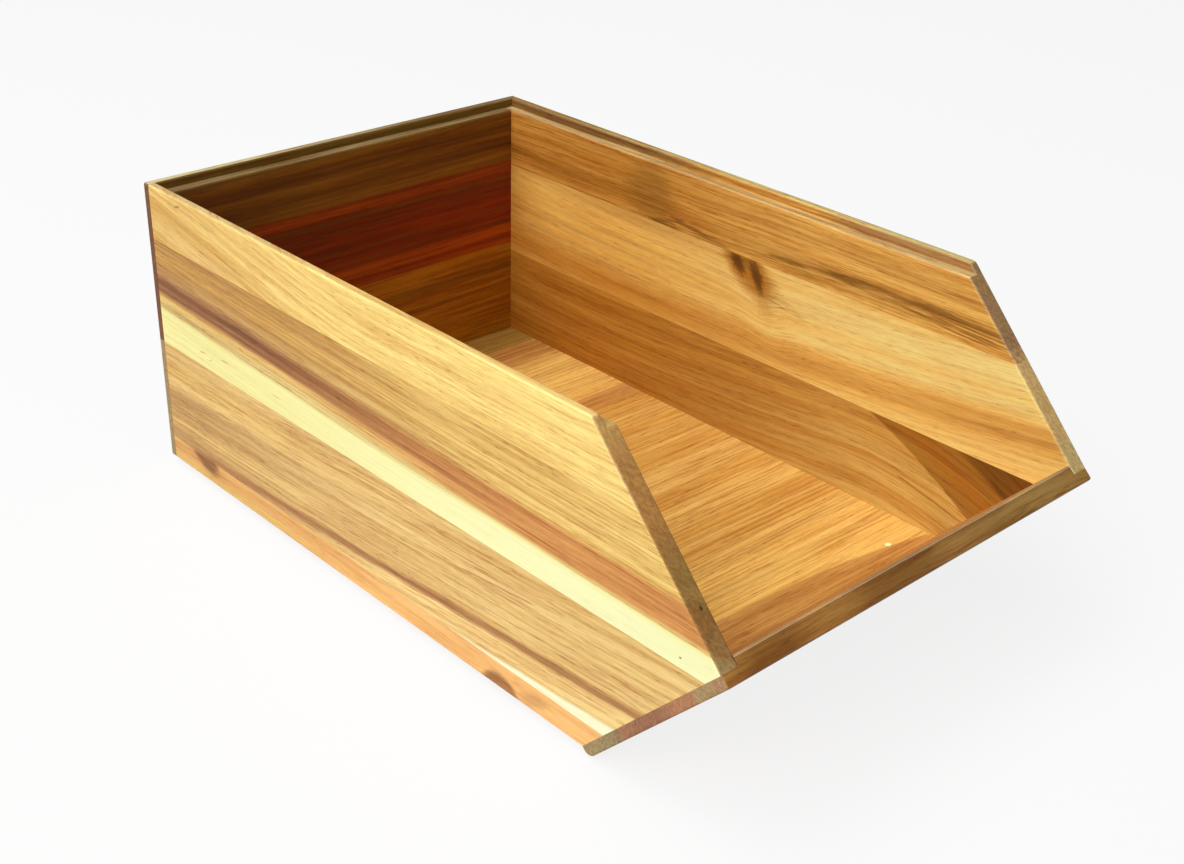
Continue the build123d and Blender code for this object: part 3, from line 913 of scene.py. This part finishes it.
for number, (wood_name, stripes) in enumerate(floor_woods.items()):
    dress(
        f"floor_stave_{number + 1}", wood_name, FLOOR, seed=13.3 + 1.7 * number, spacing=1.5,
        stripes=stripes,
        run=dict(middle=120, rise_behind=0.015, rise_ahead=0.015, waver=1.3),
        marks=floor_marks.get(wood_name, ()),
        finish=dict(line_tint=RED_LINES, line_depth=0.75, vein_depth=0.7, pore_depth=0.75,
                    tone=(1.25, 1.63, 1.85, 1)),
    )


# Front board, which shows its end grain and its top

# the front board's inner top edge gets a strong painted highlight line, with some wear
front_finish = dict(line_tint=BROWN_LINES, line_depth=0.95, vein_depth=0.9, pore_depth=0.6, edge_wear_and_highlight=0.38,
                    tone=(1.18, 1.24, 1.3, 1))

dress(
    "front_board_lower_stave", "olive_brown_wood", FRONT, seed=25.1,
    stripes={-4: "nose brown", 8: "deep honey", 18: "nose brown", 30: "deep honey"},
    run=dict(lean=0.6),
    finish=front_finish,
    end={0: "moss", 18: "moss", 25: "dark moss", 30: "dark moss"},
    worn_inside=True,
)

dress(
    "front_board_middle_stave", "mauve_brown_wood", FRONT, seed=26.3, spacing=2.6,
    stripes={22: "rose brown", 30: "rust", 38: "rose brown", 56: "rust", 64: "rose brown", 78: "rust"},
    run=dict(lean=0.8),
    finish=front_finish,
    end={24: "mauve", 30: "mauve", 39: "dark mauve", 52: "dark mauve", 61: "light mauve",
         76: "light mauve"},
    worn_inside=True,
)

dress(
    "front_board_upper_stave", "nose_olive_wood", FRONT, seed=27.7, spacing=1.8,
    stripes={70: "deep honey", 84: "nose brown", 98: "nose brown"},
    ahead={70: "deep honey", 84: "nose olive", 98: "nose olive"},
    turn=(60, 160),
    run=dict(waver=0.8, lean=-0.5),
    marks=[
        patch("knot brown", 24, 92, 14, 12, 0.45, softness=0.6, raggedness=0.4),
        patch("knot brown", 91, 92, 22, 12, 0.6, softness=0.6, raggedness=0.4),
    ],
    finish=front_finish,
    end={70: "light moss", 82: "light moss", 88: "pink moss", 92: "pink moss"},
    worn_inside=True,
)


# Studio: the camera, three soft lights, the floor and a faint glow from all round

# The photograph's view: from the left and the front, looking down, a little rolled
VIEW_AZIMUTH, VIEW_ELEVATION, VIEW_ROLL = math.radians(43.521), math.radians(28.052), math.radians(1.654)
VIEW_PLACE = Vector((-0.431214, BACK_Y - 0.630752, BOTTOM_EDGE + 0.381528))
LENS, SENSOR = 50.338, 36.0
BIN_MIDDLE = Vector((0, 0, 0.07))
STUDIO_REACH = 4.0  # from the middle of the studio floor to its edges
FLOOR_GLOW = 0.85  # how much of the floor that the camera sees is plain white
AIR_GLOW = 0.05


def make_camera():
    """Looks along the view's azimuth, down by its elevation, and turned about its own axis by its roll."""
    camera = bpy.data.objects.new("camera", bpy.data.cameras.new("camera"))
    camera.data.lens = LENS
    camera.data.sensor_width = SENSOR
    camera.data.clip_start = 0.05
    azimuth = Matrix.Rotation(-VIEW_AZIMUTH, 4, "Z")
    tilt = Matrix.Rotation(math.pi / 2 - VIEW_ELEVATION, 4, "X")
    roll = Matrix.Rotation(VIEW_ROLL, 4, "Z")
    camera.matrix_world = Matrix.Translation(VIEW_PLACE) @ azimuth @ tilt @ roll
    bpy.context.scene.collection.objects.link(camera)
    bpy.context.scene.camera = camera


def make_lamp(name, azimuth, elevation, power, size=2.0, distance=3.0):
    """A square soft light on the bin, from an azimuth (0 in front, 90 at its right) and an elevation."""
    a, e = math.radians(azimuth), math.radians(elevation)
    out = Vector((math.sin(a) * math.cos(e), -math.cos(a) * math.cos(e), math.sin(e)))
    lamp = bpy.data.objects.new(name, bpy.data.lights.new(name, "AREA"))
    lamp.data.size = size
    lamp.data.energy = power
    lamp.location = BIN_MIDDLE + out * distance
    lamp.rotation_mode = "QUATERNION"
    lamp.rotation_quaternion = out.to_track_quat("Z", "Y")
    bpy.context.scene.collection.objects.link(lamp)


def make_studio_floor():
    """A pale floor that looks nearly white to the camera and keeps the bin's shadow."""
    mesh = bpy.data.meshes.new("studio_floor")
    corners = [(x * STUDIO_REACH, y * STUDIO_REACH, 0) for x, y in ((-1, -1), (1, -1), (1, 1), (-1, 1))]
    mesh.from_pydata(corners, [], [(0, 1, 2, 3)])
    floor = bpy.data.objects.new("studio_floor", mesh)
    bpy.context.scene.collection.objects.link(floor)
    material = bpy.data.materials.new("studio_floor_paint")
    material.use_nodes = True
    wires = Wires(material.node_tree)
    shader = material.node_tree.nodes["Principled BSDF"]
    shader.inputs["Base Color"].default_value = (0.75, 0.75, 0.75, 1)
    shader.inputs["Roughness"].default_value = 0.9
    glow = wires.node("ShaderNodeEmission", {"Color": (1, 1, 1, 1), "Strength": 1.0})
    rays = wires.node("ShaderNodeLightPath").outputs
    seen = wires.math("MAXIMUM", rays["Is Camera Ray"], rays["Is Glossy Ray"])
    inputs = {0: wires.times(seen, FLOOR_GLOW), 1: shader.outputs[0], 2: glow.outputs[0]}
    blend = wires.node("ShaderNodeMixShader", inputs)
    wires.feed(material.node_tree.nodes["Material Output"].inputs["Surface"], blend.outputs[0])
    mesh.materials.append(material)


make_camera()
make_lamp("left_softbox", azimuth=-80, elevation=38, power=38.4, size=1.6, distance=2.4)
make_lamp("rear_softbox", azimuth=-140, elevation=66, power=57.6)
make_lamp("front_softbox", azimuth=-40, elevation=60, power=11.5)
make_studio_floor()
world = bpy.data.worlds.new("studio_air")
bpy.context.scene.world = world
world.use_nodes = True
air = Wires(world.node_tree)
seen_by_camera = air.node("ShaderNodeLightPath").outputs["Is Camera Ray"]
air_glow = world.node_tree.nodes["Background"].inputs
air.feed(air_glow["Color"], (1, 1, 1, 1))
air.feed(air_glow["Strength"], air.math("MAXIMUM", seen_by_camera, AIR_GLOW))

bpy.context.scene.view_settings.view_transform = "Standard"
